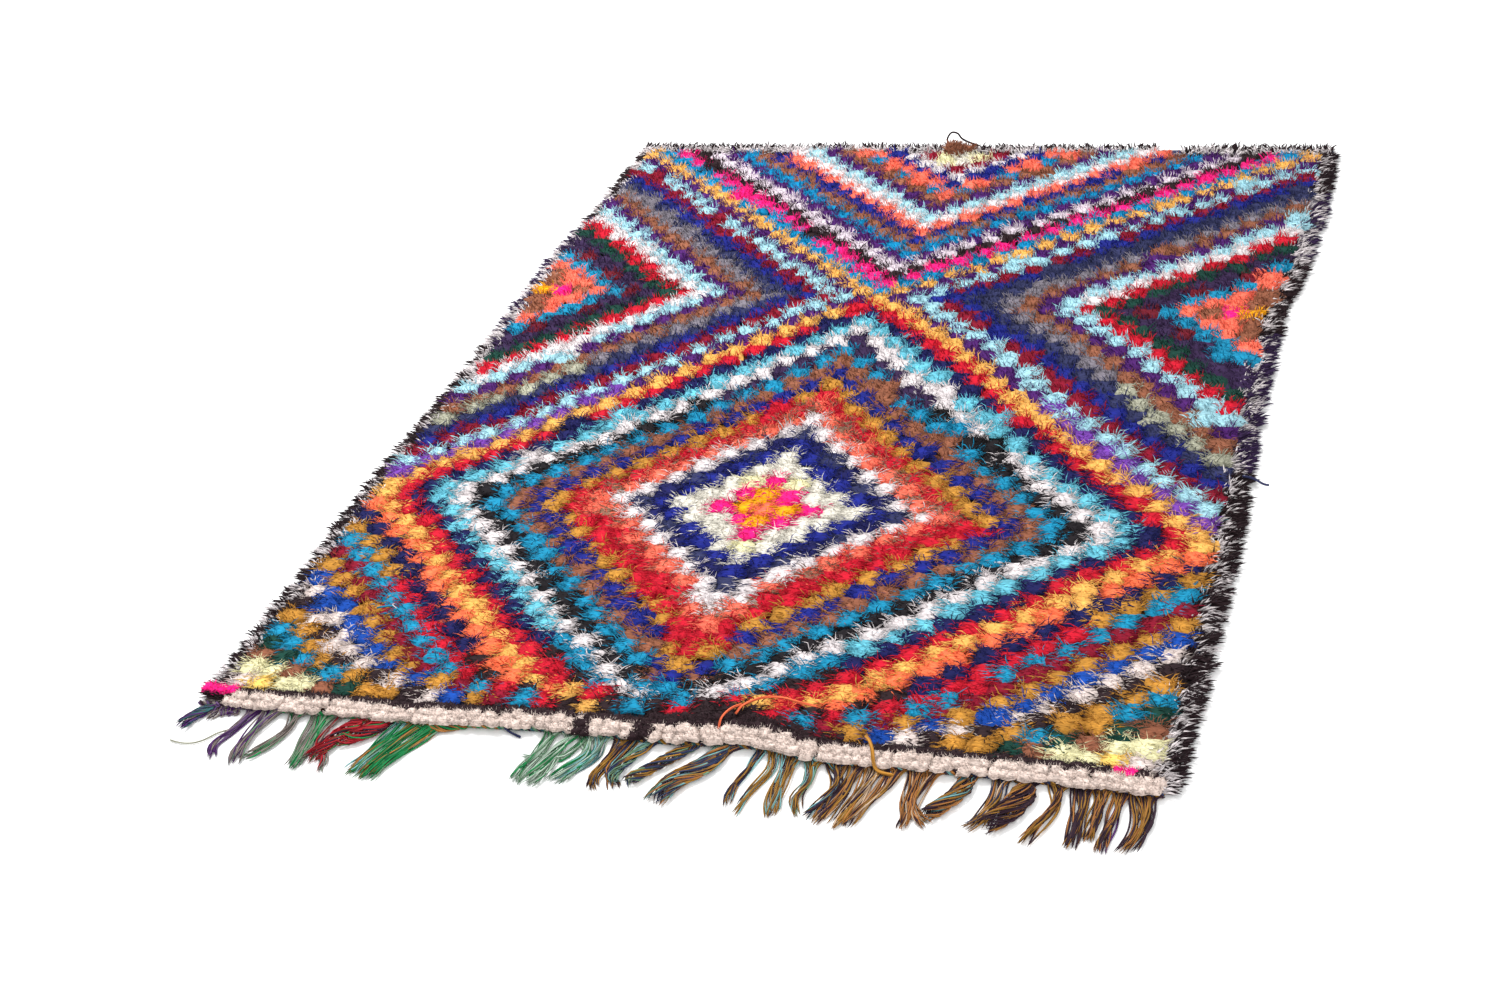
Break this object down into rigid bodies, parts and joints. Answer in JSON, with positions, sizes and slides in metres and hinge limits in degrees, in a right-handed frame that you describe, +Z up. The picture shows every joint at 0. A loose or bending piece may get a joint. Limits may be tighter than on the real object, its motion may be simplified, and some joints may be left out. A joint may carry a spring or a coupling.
{
  "type": "boucherouite rug",
  "caption": "Hand-knotted shag rug with concentric diamonds of mixed rag yarn, ragged sides and a loose knotted fringe along one end.",
  "frame": {"origin": "on the floor, under the middle of the whole rug with its fringe and side locks", "axes": "+Y along the rug, from the fringed end to the plain end; +X across it; +Z up, out of the pile"},
  "size_m": [1.329, 1.825, 0.0343],
  "materials": {
    "pile": "tufts of torn cotton, wool and synthetic yarn in many colours, knotted on a woven ground",
    "fringe": "warp ends in ochre, green, purple and brown yarn, knotted along the edge and hanging in bunches"
  },
  "bodies": {
    "root": {"shag": "pile", "fringe": "fringe"}
  },
  "joints": []
}
